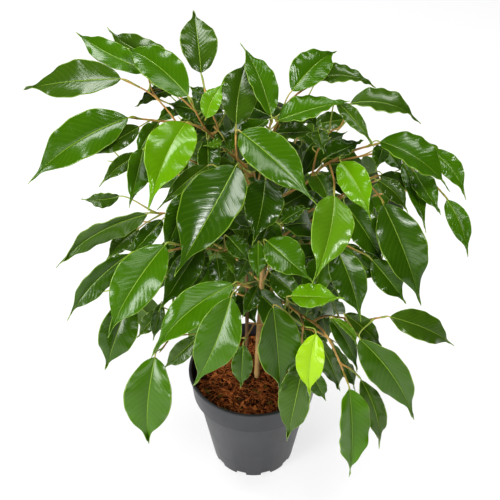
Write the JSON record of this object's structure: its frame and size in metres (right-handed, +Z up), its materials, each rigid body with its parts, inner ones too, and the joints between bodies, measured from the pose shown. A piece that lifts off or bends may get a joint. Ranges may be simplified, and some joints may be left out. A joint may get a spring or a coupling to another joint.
{
  "type": "potted weeping fig",
  "caption": "Small weeping fig with glossy pointed leaves on thin arching branches, standing in a plain dark round nursery pot filled with soil.",
  "frame": {"origin": "middle of the pot's underside, on the surface it stands on", "axes": "+Z up along the pot's axis, -Y towards the plant's front, +X to the viewer's right"},
  "size_m": [0.3401, 0.3614, 0.4594],
  "materials": {
    "pot_plastic": "satin dark grey moulded plastic",
    "soil": "rough moist coir and bark",
    "bark": "thin smooth bark",
    "leaf_deep": "glossy dark green leaf",
    "leaf_dark": "glossy grey-green leaf",
    "leaf_mid": "glossy green leaf",
    "leaf_fresh": "glossy fresh green leaf",
    "leaf_bright": "glossy bright green leaf"
  },
  "bodies": {
    "root": {"branch_back_01": "leaf_fresh", "branch_back_02": "leaf_fresh", "branch_back_03": "leaf_mid", "branch_back_04": "leaf_mid", "branch_back_05": "leaf_mid", "branch_back_06": "leaf_deep", "branch_back_07": "leaf_deep", "branch_back_08": "leaf_mid", "branch_back_09": "leaf_mid", "branch_back_10": "leaf_deep", "branch_back_11": "leaf_dark", "branch_back_12": "leaf_mid", "branch_back_13": "leaf_dark", "branch_back_14": "leaf_deep", "branch_back_15": "leaf_dark", "branch_back_16": "leaf_mid", "branch_back_17": "leaf_mid", "branch_back_19": "leaf_mid", "branch_back_21": "leaf_mid", "branch_centre": "leaf_deep", "branch_centre_low": "leaf_mid", "branch_centre_right": "leaf_deep", "branch_far_left": "leaf_dark", "branch_far_right": "leaf_dark", "branch_far_right_low": "leaf_dark", "branch_front_left": "leaf_mid", "branch_inner_left": "leaf_deep", "branch_left_hanging": "leaf_mid", "branch_left_low": "leaf_fresh", "branch_left_middle": "leaf_dark", "branch_left_upper": "leaf_mid", "branch_lime_pair": "leaf_bright", "branch_right_branch": "leaf_fresh", "branch_right_low": "leaf_fresh", "branch_right_low_inner": "leaf_deep", "branch_right_lower": "leaf_deep", "branch_right_middle": "leaf_deep", "branch_right_tail": "leaf_fresh", "branch_top_centre": "leaf_dark", "branch_top_left": "leaf_fresh", "branch_top_right": "leaf_fresh", "branch_top_tall": "leaf_dark", "branch_top_upright": "leaf_fresh", "branch_upper_left": "leaf_mid", "pot": "pot_plastic", "second_stem": "bark", "soil": "soil", "trunk": "bark"}
  },
  "joints": []
}
